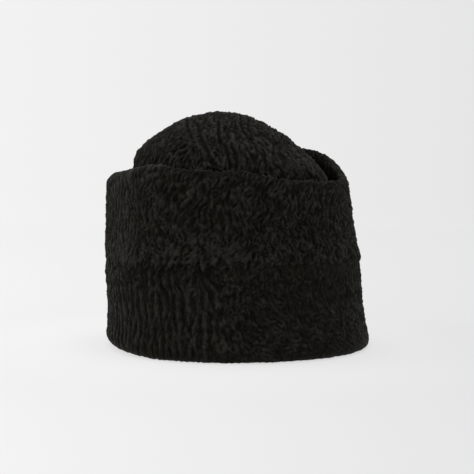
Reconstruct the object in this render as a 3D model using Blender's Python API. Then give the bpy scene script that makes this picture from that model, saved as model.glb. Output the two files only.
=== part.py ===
"""A karakul cap: a tall oval fur cap with a domed crown inside a wall of two strips sewn end to end.

Metres, +Z up. The front of the cap faces -Y and the wearer's left is +X. The origin is the middle of the base,
on the surface that the cap stands on. Each sub-part is one object:

    crown        the inner cap, a hollow shell from its domed top down to the head opening
    lower_band   the lower strip of the outer wall, which the cap stands on
    upper_band   the upper strip of the outer wall, with its peaked rim

Each of them starts as a section that is spun round the Z axis at a radius of 1. There a vertex holds its angle
round the cap, its inset from the radius of 1 and a level, and the piece's place function turns these three into
the vertex's real place, on a plan that changes with height from the head's oval to a rounder one.
"""

from collections import namedtuple
from math import atan2, cos, hypot, pi, radians, sin

import bmesh
import bpy
from mathutils import Vector

MM = 0.001

# How finely the round shapes are made
STEPS_ROUND = 64
CORNER_STEPS = 3
BAND_OUTER_ROWS = 6
BAND_INNER_ROWS = 3
CROWN_TOP_ROWS = 8
CROWN_SIDE_ROWS = 8

# The wall: a doubled pelt, fur included, with a narrow gap where one piece is stitched to another
WALL_THICKNESS = 8.0 * MM
STITCHED_GAP = 0.3 * MM

# The rounding of a band's edges, outside and inside the wall, all of it within a zone next to the edge
Edge = namedtuple("Edge", "outer_radius inner_radius")
FOOT = Edge(4.5 * MM, 1.0 * MM)
STITCHED = Edge(3.0 * MM, 3.0 * MM)
RIM = Edge(4.0 * MM, 3.5 * MM)
EDGE_ZONE = 5.0 * MM

# The seam between the two strips is sewn a little higher behind, and higher on the wearer's left
SEAM_HEIGHT = 64.0 * MM
SEAM_RISE_BEHIND = 1.5 * MM
SEAM_RISE_LEFT = 2.5 * MM

# The rim is level at the sides and peaked in front and behind
RIM_HEIGHT_SIDES = 120.0 * MM
FRONT_PEAK = 9.5 * MM
BACK_PEAK = 27.0 * MM
BACK_PEAK_HALF_ANGLE = radians(57)
BACK_PEAK_TOE = 0.2

# The wall's outer face at a few heights, in millimetres. The cap leans forward as it rises. A pinch narrows the
# plan between its side and its front or back, and a negative one fills it out
Level = namedtuple("Level", "height half_width half_length forward front_pinch back_pinch")
WALL_LEVELS = [
    Level(0.0, 92.4, 105.2, -2.0, 0.07, -0.05),
    Level(9.0, 92.8, 105.8, -1.3, 0.07, -0.05),
    Level(30.0, 90.0, 103.0, 0.4, 0.07, -0.03),
    Level(61.0, 89.8, 101.8, 4.8, 0.08, 0.00),
    Level(90.0, 88.2, 97.2, 9.8, 0.10, 0.03),
    Level(120.0, 86.7, 93.2, 13.8, 0.11, 0.06),
    Level(150.0, 84.4, 88.4, 16.8, 0.13, 0.08),
]

# The crown: a shell with an upright side. Its hem is stitched inside the wall's foot, and above the hem it
# comes away from the wall, until it stands free as a smaller oval
CROWN_THICKNESS = 3.5 * MM
CROWN_FOOT = 2.0 * MM
CROWN_HEM_HEIGHT = 12.0 * MM
CROWN_FREE_HEIGHT = 100.0 * MM
CROWN_HALF_WIDTH = 69.5 * MM
CROWN_HALF_LENGTH = 74.5 * MM
CROWN_FORWARD = 8.0 * MM
CROWN_SHOULDER = 5.0 * MM

# The crown's domed top face falls off with the square of the distance from its apex, in metres per square metre
APEX_HEIGHT = 169.5 * MM
APEX_FORWARD = 23.0 * MM
DOME_CURVE_ACROSS = 8.3
DOME_CURVE_FRONT = 7.6
DOME_CURVE_BEHIND = 6.2

# How far down the crown's spun section its shoulder reaches
SHOULDER_LEVEL = -0.1

# The fur of each piece
Fur = namedtuple("Fur", "colour roughness")
FURS = {
    "crown": Fur((0.013, 0.012, 0.011, 1.0), 0.55),
    "lower_band": Fur((0.012, 0.011, 0.010, 1.0), 0.60),
    "upper_band": Fur((0.012, 0.011, 0.010, 1.0), 0.60),
}


def wall_level(height):
    """The wall's plan at a height, as a Level, on a smooth curve through the rows of the table."""
    heights = [row.height * MM for row in WALL_LEVELS]
    last = len(heights) - 1
    i = next((k for k in range(last - 1) if height <= heights[k + 1]), last - 1)
    before, after = max(i - 1, 0), min(i + 2, last)
    span = heights[i + 1] - heights[i]
    t = min(max((height - heights[i]) / span, 0.0), 1.0)
    values = []
    for name in Level._fields:
        here, there = getattr(WALL_LEVELS[i], name), getattr(WALL_LEVELS[i + 1], name)
        slope_here = (there - getattr(WALL_LEVELS[before], name)) / (heights[i + 1] - heights[before]) * span
        slope_there = (getattr(WALL_LEVELS[after], name) - here) / (heights[after] - heights[i]) * span
        from_here = (2 * t**3 - 3 * t**2 + 1) * here + (t**3 - 2 * t**2 + t) * slope_here
        from_there = (3 * t**2 - 2 * t**3) * there + (t**3 - t**2) * slope_there
        values.append(from_here + from_there)
    return Level(*values)


def wall_plan(angle, height):
    """A point of the wall's outer face, as x and y.

    The angle round the cap is 0 in front and 90 degrees at the wearer's left."""
    row = wall_level(height)
    pinch = row.front_pinch if cos(angle) > 0 else row.back_pinch
    x = row.half_width * sin(angle) * (1 - pinch * cos(angle) ** 2)
    y = -row.forward - row.half_length * cos(angle)
    return Vector((x, y)) * MM


def wall_inside(angle, height, inset):
    """A point of the wall's plan, moved in square to the wall."""
    small_angle = 0.001
    along = wall_plan(angle + small_angle, height) - wall_plan(angle - small_angle, height)
    along.normalize()
    return wall_plan(angle, height) + Vector((-along.y, along.x)) * inset


def floor_height(angle):
    """Height of the surface that the cap stands on."""
    return 0.0


def seam_height(angle):
    """Height of the seam between the two strips."""
    return SEAM_HEIGHT - SEAM_RISE_BEHIND * cos(angle) + SEAM_RISE_LEFT * sin(angle)


def rim_height(angle):
    """Height of the rim's top: a low peak in front, and a high arch behind with a soft toe at each end."""
    front = max(cos(angle), 0.0) ** 2.5
    from_back = abs(pi - angle % (2 * pi)) / BACK_PEAK_HALF_ANGLE
    arch = 1 - from_back**2
    back = (arch + hypot(arch, BACK_PEAK_TOE)) / 2
    return RIM_HEIGHT_SIDES + FRONT_PEAK * front + BACK_PEAK * back


def crown_plan(angle, height):
    """A point of the crown's upright side, as x and y."""
    hem = wall_inside(angle, height, WALL_THICKNESS + STITCHED_GAP)
    free = Vector((CROWN_HALF_WIDTH * sin(angle), -CROWN_FORWARD - CROWN_HALF_LENGTH * cos(angle)))
    rise = (height - CROWN_HEM_HEIGHT) / (CROWN_FREE_HEIGHT - CROWN_HEM_HEIGHT)
    rise = min(max(rise, 0.0), 1.0)
    return hem.lerp(free, rise * rise * (3 - 2 * rise))


def on_dome(plan):
    """The point of the crown's domed top face over a point of the plan."""
    along = plan.y + APEX_FORWARD
    curve_along = DOME_CURVE_BEHIND if along > 0 else DOME_CURVE_FRONT
    height = APEX_HEIGHT - DOME_CURVE_ACROSS * plan.x**2 - curve_along * along**2
    return Vector((plan.x, plan.y, height))


def corner(centre_inset, centre_level, radius, start, end):
    """Points of a rounded corner of a section, as (inset, level), between two bearings in degrees.

    Bearing 0 points out of the wall and 90 points up."""
    points = []
    for i in range(CORNER_STEPS + 1):
        bearing = radians(start + (end - start) * i / CORNER_STEPS)
        points.append((centre_inset - radius * cos(bearing), centre_level + radius * sin(bearing)))
    return points


def band_section(bottom, top):
    """A band's closed section, as (inset, level), with levels from 0 at its bottom edge to 1 at its top edge.

    Next to each edge a level is a real distance from that edge, so that the corners stay round."""
    thick = WALL_THICKNESS
    section = corner(thick - bottom.inner_radius, bottom.inner_radius, bottom.inner_radius, 180, 270)
    section += corner(bottom.outer_radius, bottom.outer_radius, bottom.outer_radius, 270, 360)
    section += [(0.0, i / (BAND_OUTER_ROWS + 1)) for i in range(1, BAND_OUTER_ROWS + 1)]
    section += corner(top.outer_radius, 1 - top.outer_radius, top.outer_radius, 0, 90)
    section += corner(thick - top.inner_radius, 1 - top.inner_radius, top.inner_radius, 90, 180)
    section += [(thick, 1 - i / (BAND_INNER_ROWS + 1)) for i in range(1, BAND_INNER_ROWS + 1)]
    return section


def crown_section():
    """The crown's open section, as (inset, level).

    At level 0 it is the top face, from the apex's inset of 1 to the edge's inset of 0. Below that it is the
    shoulder and then the side, down to level -1 at the foot."""
    top = [(1 - i / CROWN_TOP_ROWS, 0.0) for i in range(CROWN_TOP_ROWS + 1)]
    shoulder = [(0.0, SHOULDER_LEVEL * i / CORNER_STEPS) for i in range(1, CORNER_STEPS + 1)]
    side_span = -1 - SHOULDER_LEVEL
    side = [(0.0, SHOULDER_LEVEL + side_span * i / CROWN_SIDE_ROWS) for i in range(1, CROWN_SIDE_ROWS + 1)]
    return top + shoulder + side


def spin_and_place(name, section, closed, place):
    """Spins a section once round the Z axis, moves each vertex to its real place and makes the object."""
    bm = bmesh.new()
    verts = [bm.verts.new((0.0, inset - 1, level)) for inset, level in section]
    edges = [bm.edges.new(pair) for pair in zip(verts, verts[1:])]
    if closed:
        edges.append(bm.edges.new((verts[-1], verts[0])))
    bmesh.ops.spin(
        bm, geom=verts + edges, cent=(0, 0, 0), axis=(0, 0, 1), angle=2 * pi, steps=STEPS_ROUND, use_merge=True
    )
    bmesh.ops.remove_doubles(bm, verts=bm.verts, dist=1e-5)
    for vert in bm.verts:
        angle = atan2(vert.co.x, -vert.co.y)
        inset = 1 - hypot(vert.co.x, vert.co.y)
        vert.co = place(angle, inset, vert.co.z)
    bmesh.ops.recalc_face_normals(bm, faces=bm.faces)
    mesh = bpy.data.meshes.new(name)
    bm.to_mesh(mesh)
    bm.free()
    mesh.materials.append(fur_material(name))
    mesh.shade_smooth()
    mesh.set_sharp_from_angle(angle=radians(50))
    piece = bpy.data.objects.new(name, mesh)
    bpy.context.scene.collection.objects.link(piece)
    return piece


def fur_material(name):
    """The near-black fur of one piece."""
    material = bpy.data.materials.new(name + "_fur")
    material.use_nodes = True
    shader = material.node_tree.nodes["Principled BSDF"]
    shader.inputs["Base Color"].default_value = FURS[name].colour
    shader.inputs["Roughness"].default_value = FURS[name].roughness
    shader.inputs["Metallic"].default_value = 0.0
    return material


def make_band(name, bottom, top, low_edge, high_edge):
    """One strip of the wall between two heights, each a function of the angle round the cap."""

    def place(angle, inset, level):
        low, high = low_edge(angle), high_edge(angle)
        if level <= EDGE_ZONE:
            height = low + level
        elif level >= 1 - EDGE_ZONE:
            height = high - (1 - level)
        else:
            share = (level - EDGE_ZONE) / (1 - 2 * EDGE_ZONE)
            height = low + EDGE_ZONE + (high - low - 2 * EDGE_ZONE) * share
        return Vector((*wall_inside(angle, height, inset), height))

    return spin_and_place(name, band_section(bottom, top), True, place)


def make_lower_band():
    """The lower strip, from the flat ring that the cap stands on to just under the seam."""
    return make_band("lower_band", FOOT, STITCHED, floor_height, lambda angle: seam_height(angle) - STITCHED_GAP / 2)


def make_upper_band():
    """The upper strip, from just over the seam to the rounded rim."""
    return make_band("upper_band", STITCHED, RIM, lambda angle: seam_height(angle) + STITCHED_GAP / 2, rim_height)


def make_crown():
    """The crown: its outer face is spun and placed, and a Solidify modifier gives the shell its thickness."""
    apex = Vector((0.0, -APEX_FORWARD))

    def place(angle, inset, level):
        edge = crown_plan(angle, APEX_HEIGHT)
        bend = on_dome(edge)
        shoulder_start = 1 - CROWN_SHOULDER / (edge - apex).length
        shoulder_end = bend - Vector((0, 0, CROWN_SHOULDER))
        if level == 0:
            return on_dome(apex.lerp(edge, (1 - inset) * shoulder_start))
        if level >= SHOULDER_LEVEL:
            turn = level / SHOULDER_LEVEL
            along_top = on_dome(apex.lerp(edge, shoulder_start)).lerp(bend, turn)
            return along_top.lerp(bend.lerp(shoulder_end, turn), turn)
        drop = (SHOULDER_LEVEL - level) / (SHOULDER_LEVEL + 1)
        height = shoulder_end.z + (CROWN_FOOT - shoulder_end.z) * drop
        return Vector((*crown_plan(angle, height), height))

    crown = spin_and_place("crown", crown_section(), False, place)
    shell = crown.modifiers.new("thickness", "SOLIDIFY")
    shell.thickness = CROWN_THICKNESS
    shell.offset = -1.0
    shell.use_even_offset = True
    return crown


for leftover in list(bpy.data.objects):
    bpy.data.objects.remove(leftover)

make_lower_band()
make_upper_band()
make_crown()
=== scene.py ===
# %% [markdown]
# # A karakul cap
#
# This lesson dresses a fur cap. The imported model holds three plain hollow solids: the crown, which is an
# inner cap with a domed top, and the two strips of pelt, one over the other, that make the wall round it.
# Karakul is the pelt of a young lamb. Its hair is short and lies in tight curls, so from a step away it
# looks like a field of small satin worms, each 4 or 5 mm from the next, with dark grooves between them.
#
# There are three ways to make such a fur. Hair particles don't reach an exported mesh. A bump map leaves a
# smooth outline. Here the curls are real relief: a fine skin is laid over each solid, and its vertices are
# moved in and out by a pattern of curls that grows from seeded noise. Only the finest locks and the single
# hairs are left to a bump in the material.

from collections import namedtuple
from math import atan2, cos, pi, radians, sin

import bmesh
import bpy
import numpy as np
from mathutils import Matrix, Vector
from mathutils.bvhtree import BVHTree


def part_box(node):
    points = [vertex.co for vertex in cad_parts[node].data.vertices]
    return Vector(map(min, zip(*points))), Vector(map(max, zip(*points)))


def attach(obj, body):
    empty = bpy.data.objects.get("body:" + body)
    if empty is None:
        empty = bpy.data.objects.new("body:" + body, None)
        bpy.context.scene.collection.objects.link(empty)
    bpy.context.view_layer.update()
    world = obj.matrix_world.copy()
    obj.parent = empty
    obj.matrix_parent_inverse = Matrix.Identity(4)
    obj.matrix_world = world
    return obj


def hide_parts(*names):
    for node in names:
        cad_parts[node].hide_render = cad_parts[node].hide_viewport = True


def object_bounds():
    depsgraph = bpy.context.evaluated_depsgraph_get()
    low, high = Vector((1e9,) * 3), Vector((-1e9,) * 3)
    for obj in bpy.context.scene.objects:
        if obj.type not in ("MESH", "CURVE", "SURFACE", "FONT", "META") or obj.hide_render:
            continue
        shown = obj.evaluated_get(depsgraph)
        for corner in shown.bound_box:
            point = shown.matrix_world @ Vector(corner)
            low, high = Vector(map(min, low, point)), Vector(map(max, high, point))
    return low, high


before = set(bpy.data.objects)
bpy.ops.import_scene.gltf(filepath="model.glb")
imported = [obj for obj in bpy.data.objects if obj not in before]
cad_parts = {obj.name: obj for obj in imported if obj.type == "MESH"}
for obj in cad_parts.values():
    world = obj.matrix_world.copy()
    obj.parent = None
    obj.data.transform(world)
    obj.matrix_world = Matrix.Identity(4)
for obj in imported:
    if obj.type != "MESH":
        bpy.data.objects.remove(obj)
cad_low, cad_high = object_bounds()

MM = 0.001
print("packed model:", ", ".join(sorted(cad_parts)))
print("its size in mm:", [round(side / MM, 1) for side in cad_high - cad_low])

# %% [markdown]
# ## The camera
#
# The photograph was taken from a little above the floor, to the left of the cap's front as its wearer feels
# it. The camera's bearing, height and lens were found by laying the solids' outline over the photograph's.
# It comes first, because each finish is judged through it.

# %% Place the camera
PHOTO_PIXELS = 474
FOCAL_PIXELS = 1132
SENSOR_WIDTH = 36.0
CAMERA_BEARING = radians(35.0)
CAMERA_PITCH = radians(2.9)
CAMERA_ROLL = radians(1.2)
CAMERA_DISTANCE = 0.8375
LOOK_AT_HEIGHT = 79.2 * MM
LOOK_AT_SIDE = -0.3 * MM


def make_camera():
    """The photograph's camera, aimed at a point near the middle of the cap."""
    lens = bpy.data.cameras.new("photo_camera")
    lens.sensor_width = SENSOR_WIDTH
    lens.lens = SENSOR_WIDTH * FOCAL_PIXELS / PHOTO_PIXELS
    camera = bpy.data.objects.new("photo_camera", lens)
    bpy.context.scene.collection.objects.link(camera)
    level = cos(CAMERA_PITCH)
    right = Vector((cos(CAMERA_BEARING), sin(CAMERA_BEARING), 0.0))
    back = Vector((sin(CAMERA_BEARING) * level, -cos(CAMERA_BEARING) * level, sin(CAMERA_PITCH)))
    camera.location = right * LOOK_AT_SIDE + Vector((0, 0, LOOK_AT_HEIGHT)) + back * CAMERA_DISTANCE
    aim = Matrix.Rotation(CAMERA_BEARING, 3, "Z") @ Matrix.Rotation(pi / 2 - CAMERA_PITCH, 3, "X")
    camera.rotation_euler = (aim @ Matrix.Rotation(CAMERA_ROLL, 3, "Z")).to_euler()
    bpy.context.scene.camera = camera
    return camera


camera = make_camera()
print("camera at", [round(c, 3) for c in camera.location], "lens", round(camera.data.lens, 1), "mm")

# %% [markdown]
# ## Growing the curls
#
# On the lamb, each curl is a lock of hairs that all lean one way, and neighbouring locks push each other into
# rows. The same thing happens to noise that is sharpened again and again by a filter that likes one distance
# between ridges: it settles into wandering, broken ridges. A filter that also likes one direction combs them.
#
# The pattern is a flat array, one cell for about half a millimetre of skin. At every cell it has its own
# direction, its own spacing and its own strength of combing, because a pelt is combed straight in one place
# and curly in another. The filters work on the array's Fourier transform, one for each of eight directions
# and three spacings, and their results are blended by how near each one is to what a cell asks for.

# %% Noise and steps
CELL = 0.5
TEST_SHAPE = (128, 128)


def smooth_step(x, start, end):
    """0 before start, 1 after end, and a soft rise between them."""
    t = np.clip((x - start) / (end - start), 0, 1)
    return t * t * (3 - 2 * t)


def frequencies(shape):
    """Waves per millimetre along the columns and the rows of a transformed array."""
    return np.fft.rfftfreq(shape[1])[None] / CELL, np.fft.fftfreq(shape[0])[:, None] / CELL


def soften(field, size):
    """A blurred field. The size is in millimetres."""
    across, up = frequencies(field.shape)
    blur = np.exp(-((np.hypot(across, up) * size) ** 2))
    return np.fft.irfft2(np.fft.rfft2(field) * blur, s=field.shape)


def soft_noise(shape, size, seed):
    """Soft blotches of about a size in millimetres, with a mean of 0 and a spread of 1."""
    field = soften(np.random.default_rng(seed).standard_normal(shape), size)
    return (field - field.mean()) / field.std()


blotches = soft_noise(TEST_SHAPE, 8, 1)
print("the noise runs from", round(float(blotches.min()), 1), "to", round(float(blotches.max()), 1))

# %% Comb noise into curls
DIRECTIONS = 8
SPACINGS = 3
ROUNDS = 2
NARROW = 8
SHARPEN = 1.0
RING_WIDTH = 0.55
COMBED_GAIN = 1.8
CURLY_GAIN = 0.62
EVEN_OUT_SIZE = 16.0


def curls(shape, lean, combed, spacing, seed, rounds=ROUNDS, narrow=NARROW):
    """Ridges between -1, a groove, and 1, a crest.

    The lean is a ridge's direction in degrees, from the array's columns towards its rows. Combed goes from
    0, no direction, to 1, and the spacing is in millimetres. Each of the three has a value for every cell.
    A filter is sharpened for a number of rounds, and a narrow one lets few other directions through."""
    across, up = frequencies(shape)
    waves, bearing = np.hypot(across, up), np.arctan2(up, across)
    turn_step = 180 / DIRECTIONS
    filters, weights = [], []
    steps = np.linspace(spacing.min(), spacing.max(), SPACINGS)
    for distance in steps:
        ring = np.exp(-(((waves * distance - 1) / RING_WIDTH) ** 2)) * (waves > 0)
        near_spacing = np.clip(1 - np.abs(spacing - distance) / (steps[1] - steps[0]), 0, 1)
        for direction in np.arange(DIRECTIONS) * turn_step:
            off = np.abs((lean - direction + 90) % 180 - 90)
            filters.append(ring * COMBED_GAIN * np.cos(bearing - np.radians(direction + 90)) ** narrow)
            weights.append(near_spacing * np.clip(1 - off / turn_step, 0, 1) * combed)
        filters.append(ring * CURLY_GAIN)
        weights.append(near_spacing * (1 - combed))
    field = np.random.default_rng(seed).standard_normal(shape)
    for _ in range(rounds):
        wave = np.fft.rfft2(field)
        field = sum(weight * np.fft.irfft2(wave * ring, s=shape) for ring, weight in zip(filters, weights))
        field /= np.sqrt(np.maximum(soften(field**2, EVEN_OUT_SIZE), 1e-9))
        field = np.tanh(SHARPEN * field)
    return field


flat = np.ones(TEST_SHAPE)
test_curls = curls(TEST_SHAPE, 90 * flat, 0.6 * flat, 6 * flat + 0.1 * blotches, 2)
print("crests cover this share of the curls:", round(float((test_curls > 0).mean()), 2))

# %% [markdown]
# ## From curls to fur
#
# A curl's section is round, like a rope's, and two curls meet in a narrow crease. So the crests stay broad
# and the grooves are sharp. On top of the curls come finer locks that stray a little from the curl's lean.
# Along its length a curl stands up unevenly, and where the hair isn't combed the skin swells and sinks.
#
# What differs from one part of the pelt to another is gathered in a coat: how strongly it is combed, how far
# its curls are apart, how much they swirl and how broken they are. One coat can turn into another bit by bit.

# %% Turn curls into a height
Coat = namedtuple("Coat", "combed spacing swirl broken")
LEAST_SPACING, MOST_SPACING = 2.8, 8.0
SPACING_WANDERS = 0.8
MOST_SWIRL = 1.5
LOCK_SPACING, LOCK_STRAYS, LOCK_NARROW = 2.8, 14, 14
LOCK_COMBED_MORE, LOCK_COMBED_MOST = 0.35, 0.95
CREST_POWER = 0.62
CURL_SHARE, LOCK_SHARE, GROUND = 0.74, 0.20, 0.11
UNEVEN, EVEN_WHERE_COMBED = 0.16, 0.12
SOFTNESS = 0.3


def coat_between(first, second, share):
    """A coat that is partly the first and partly the second, by a share for every cell."""
    return Coat(*(one + (other - one) * share for one, other in zip(first, second)))


def fur_height(lean, coat, seed, rounds=ROUNDS, narrow=NARROW):
    """The fur's height over its skin, from 0 in the deepest crease to about 1 on a high curl.

    The coat's spacing is in millimetres. Its swirl is how many degrees the lean wanders from place to place,
    and broken is how unevenly a ridge stands up along its length."""
    shape = lean.shape
    wander = SPACING_WANDERS * soft_noise(shape, 9, seed + 2)
    lean = (lean + coat.swirl * np.clip(soft_noise(shape, 7, seed + 1), -MOST_SWIRL, MOST_SWIRL)) % 180
    spacing = np.clip(coat.spacing + wander, LEAST_SPACING, MOST_SPACING)
    field = curls(shape, lean, coat.combed, spacing, seed + 3, rounds, narrow)
    stray = (lean + LOCK_STRAYS * soft_noise(shape, 5, seed + 7)) % 180
    lock_combed = np.minimum(coat.combed + LOCK_COMBED_MORE, LOCK_COMBED_MOST)
    locks = curls(shape, stray, lock_combed, LOCK_SPACING + 0.2 * wander, seed + 4, ROUNDS, LOCK_NARROW)
    crest = (0.5 + 0.5 * field) ** CREST_POWER
    long_hair = 1 + coat.broken * soft_noise(shape, 5, seed + 5)
    uneven = (UNEVEN - EVEN_WHERE_COMBED * coat.combed) * soft_noise(shape, 8, seed + 6)
    height = CURL_SHARE * crest * long_hair + LOCK_SHARE * locks + GROUND + uneven
    return soften(height, SOFTNESS)


def look_up(field, column, row):
    """The field's value at each pair of shares from 0 to 1, blended between its cells.

    Both ways wrap round."""
    rows, columns = field.shape
    x, y = column * columns, row * rows
    x0, y0 = np.floor(x).astype(int), np.floor(y).astype(int)
    fx, fy = x - x0, y - y0
    left, right = x0 % columns, (x0 + 1) % columns
    low, high = y0 % rows, (y0 + 1) % rows
    below = field[low, left] * (1 - fx) + field[low, right] * fx
    above = field[high, left] * (1 - fx) + field[high, right] * fx
    return below * (1 - fy) + above * fy


def spread_of(height):
    """A low, a middle and a high value of some heights, to print."""
    return [round(float(h), 2) for h in np.percentile(height, [1, 50, 99])]


test_coat = Coat(0.6 * flat, 6 * flat, 26, 0.20)
print("low, middle and high fur:", spread_of(fur_height(90 * flat, test_coat, 10)))

# %% [markdown]
# ## A skin for each strip
#
# A strip is a closed ring with a long rounded section. Its skin starts as one flat grid. The grid's columns
# go round the cap and its rows go round the section: up the outer face, over the top edge, down the inner
# face and back under the bottom edge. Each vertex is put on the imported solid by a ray, so nothing has to be
# fitted afterwards. The rays start from a spine, the line midway between the strip's two faces, and a
# rounded edge is reached by turning the ray round the spine's end.

# %% Find a solid's faces
AXIS = Vector((0.0, (cad_low.y + cad_high.y) / 2, 0.0))
FAR = 1.0
EDGE_TRIES = 16
MERGE_DISTANCE = 0.01 * MM


def skin_tree(node_name):
    """The node's faces, ready for rays. Its loose triangles are merged in a copy first."""
    bm = bmesh.new()
    bm.from_mesh(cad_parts[node_name].data)
    bmesh.ops.remove_doubles(bm, verts=bm.verts, dist=MERGE_DISTANCE)
    tree = BVHTree.FromBMesh(bm)
    bm.free()
    return tree


def outward(bearing):
    """The level direction away from the axis. The bearing is 0 in front and 90 at the wearer's left."""
    return Vector((sin(bearing), -cos(bearing), 0.0))


def wall_hits(tree, bearing, height):
    """Where a level ray from the axis enters and leaves the wall, or None where it misses it."""
    way = outward(bearing)
    inner = tree.ray_cast(AXIS + Vector((0, 0, height)), way, FAR)[0]
    if inner is None:
        return None
    outer = tree.ray_cast(inner + way * FAR, -way, FAR)[0]
    return inner, outer


def edge_height(tree, bearing, inside, outside):
    """The height of the wall's edge, between a height where rays hit the wall and one where they miss it."""
    for _ in range(EDGE_TRIES):
        middle = (inside + outside) / 2
        if wall_hits(tree, bearing, middle) is None:
            outside = middle
        else:
            inside = middle
    return inside


trees = {name: skin_tree(name) for name in ("lower_band", "upper_band", "crown")}
test_hits = wall_hits(trees["lower_band"], radians(90), 30 * MM)
print("wall thickness at the side:", round((test_hits[1] - test_hits[0]).length / MM, 2), "mm")

# %% Trace a strip's section
COLUMNS = 176
EDGE_TURNS = 4
PAST_EDGE = 5 * MM


def section_route(outer_rows, inner_rows):
    """The rows of a strip's section, each as a share of the spine and a turn of the ray in degrees."""
    route = [(i / outer_rows, 0.0) for i in range(outer_rows + 1)]
    route += [(1.0, 180 * i / EDGE_TURNS) for i in range(1, EDGE_TURNS + 1)]
    route += [(1 - i / inner_rows, 180.0) for i in range(1, inner_rows + 1)]
    route += [(0.0, 180 + 180 * i / EDGE_TURNS) for i in range(1, EDGE_TURNS + 1)]
    return route


def strip_spine(tree, bearing, low, high):
    """A function from a share of the spine at one bearing to its point."""
    middle = (low + high) / 2
    bottom = edge_height(tree, bearing, middle, low - PAST_EDGE)
    top = edge_height(tree, bearing, middle, high + PAST_EDGE)
    inner, outer = wall_hits(tree, bearing, middle)
    half = (outer - inner).length / 2

    def point(share):
        height = bottom + half + (top - bottom - 2 * half) * share
        inner, outer = wall_hits(tree, bearing, height)
        return (inner + outer) / 2

    return point


def strip_places(name, route, fuller):
    """The places of a strip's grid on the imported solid, column by column.

    Fuller says how many times farther out than the solid the fur stands at a turn of the ray."""
    tree = trees[name]
    low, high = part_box(name)
    places = []
    for column in range(COLUMNS):
        bearing = 2 * pi * column / COLUMNS - pi
        spine = strip_spine(tree, bearing, low.z, high.z)
        way = outward(bearing)
        line = []
        for share, turn in route:
            ray = way * cos(radians(turn)) + Vector((0, 0, sin(radians(turn))))
            start = spine(share)
            line.append(start.lerp(tree.ray_cast(start, ray, FAR)[0], fuller.get(turn, 1.0)))
        places.append(line)
    return places


print("with 4 rows outside and 2 inside, a section has", len(section_route(4, 2)) - 1, "rows in all")

# %% Lay a grid over a strip
SUBDIVISIONS = 2
LOWER_OUTER_ROWS, LOWER_INNER_ROWS = 22, 4
UPPER_OUTER_ROWS, UPPER_INNER_ROWS = 19, 8
FULL_TOP_CORNER = {45.0: 1.2}
FULL_HEM_CORNER = {315.0: 1.15}


def finish_mesh(name, bm):
    """The bmesh as an object, with its subdivision applied."""
    mesh = bpy.data.meshes.new(name)
    bm.to_mesh(mesh)
    bm.free()
    mesh.shade_smooth()
    piece = bpy.data.objects.new(name, mesh)
    bpy.context.scene.collection.objects.link(piece)
    refine = piece.modifiers.new("refine", "SUBSURF")
    refine.levels = refine.render_levels = SUBDIVISIONS
    refine.uv_smooth = "NONE"
    with bpy.context.temp_override(object=piece):
        bpy.ops.object.modifier_apply(modifier=refine.name)
    return piece


def lay_strip(name, outer_rows, inner_rows, fuller):
    """A strip's skin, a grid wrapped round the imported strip, and how far along the section each row is.

    The UV map runs once round the cap, and from the bottom edge once round the section."""
    route = section_route(outer_rows, inner_rows)
    rows = len(route) - 1
    places = strip_places(name, route, fuller)
    steps = np.linalg.norm(np.diff(np.array(places), axis=1), axis=2).mean(axis=0)
    along = np.concatenate([[0.0], np.cumsum(steps)])

    bm = bmesh.new()
    bmesh.ops.create_grid(bm, x_segments=COLUMNS, y_segments=rows, size=1.0)
    fur_map = bm.loops.layers.uv.new("fur")
    grid = {}
    for vert in bm.verts:
        grid[vert] = (round((vert.co.x + 1) / 2 * COLUMNS), round((vert.co.y + 1) / 2 * rows))
    for face in bm.faces:
        for loop in face.loops:
            column, row = grid[loop.vert]
            loop[fur_map].uv = (column / COLUMNS, along[row] / along[-1])
    for vert, (column, row) in grid.items():
        vert.co = places[column % COLUMNS][row]
    bmesh.ops.remove_doubles(bm, verts=bm.verts, dist=MERGE_DISTANCE)
    bmesh.ops.recalc_face_normals(bm, faces=bm.faces)
    return finish_mesh(name + "_fur", bm), along


lower_fur, lower_along = lay_strip("lower_band", LOWER_OUTER_ROWS, LOWER_INNER_ROWS, FULL_TOP_CORNER)
upper_fur, upper_along = lay_strip("upper_band", UPPER_OUTER_ROWS, UPPER_INNER_ROWS, FULL_HEM_CORNER)
lower_top, upper_top = lower_along[LOWER_OUTER_ROWS], upper_along[UPPER_OUTER_ROWS]
for piece, along in ((lower_fur, lower_along), (upper_fur, upper_along)):
    quads = len(piece.data.polygons)
    print(piece.name, "has", quads, "quads, and its section is", round(along[-1] / MM, 1), "mm")

# %% [markdown]
# ## Raising the fur on a strip
#
# The UV map says where each fine vertex lies in the flat pattern. The vertex is then pushed out or pulled in
# along its normal. The relief gets weaker at the foot, which is pressed flat by the cap's weight, and the
# skin is kept on or above the surface that the cap stands on.
#
# The height is also kept as an attribute, so that the material can paint shade into the creases. It is stored
# a little lower where shade is painted on the pelt, and a little higher where light is painted on it.

# %% Read and move the vertices
RELIEF = 1.9 * MM
MEAN_HEIGHT = 0.60


def points_of(mesh, name="co"):
    """The mesh's vertex places, or its vertex normals, as rows of three numbers."""
    values = np.empty(len(mesh.vertices) * 3)
    if name == "co":
        mesh.vertices.foreach_get("co", values)
    else:
        mesh.vertex_normals.foreach_get("vector", values)
    return values.reshape(-1, 3)


def map_of(mesh):
    """Each vertex's place in the fur map, as two shares."""
    values = np.empty(len(mesh.loops) * 2)
    mesh.uv_layers["fur"].data.foreach_get("uv", values)
    corner_verts = np.empty(len(mesh.loops), dtype=int)
    mesh.loops.foreach_get("vertex_index", corner_verts)
    shares = np.empty((len(mesh.vertices), 2))
    shares[corner_verts] = values.reshape(-1, 2)
    return shares


def keep_height_and_painted_light(mesh, height):
    """Stores the fur's height, with painted shade and light worked in, on the mesh for its material."""
    mesh.attributes.new("curl", "FLOAT", "POINT").data.foreach_set("value", np.clip(height, 0, 1))


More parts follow.
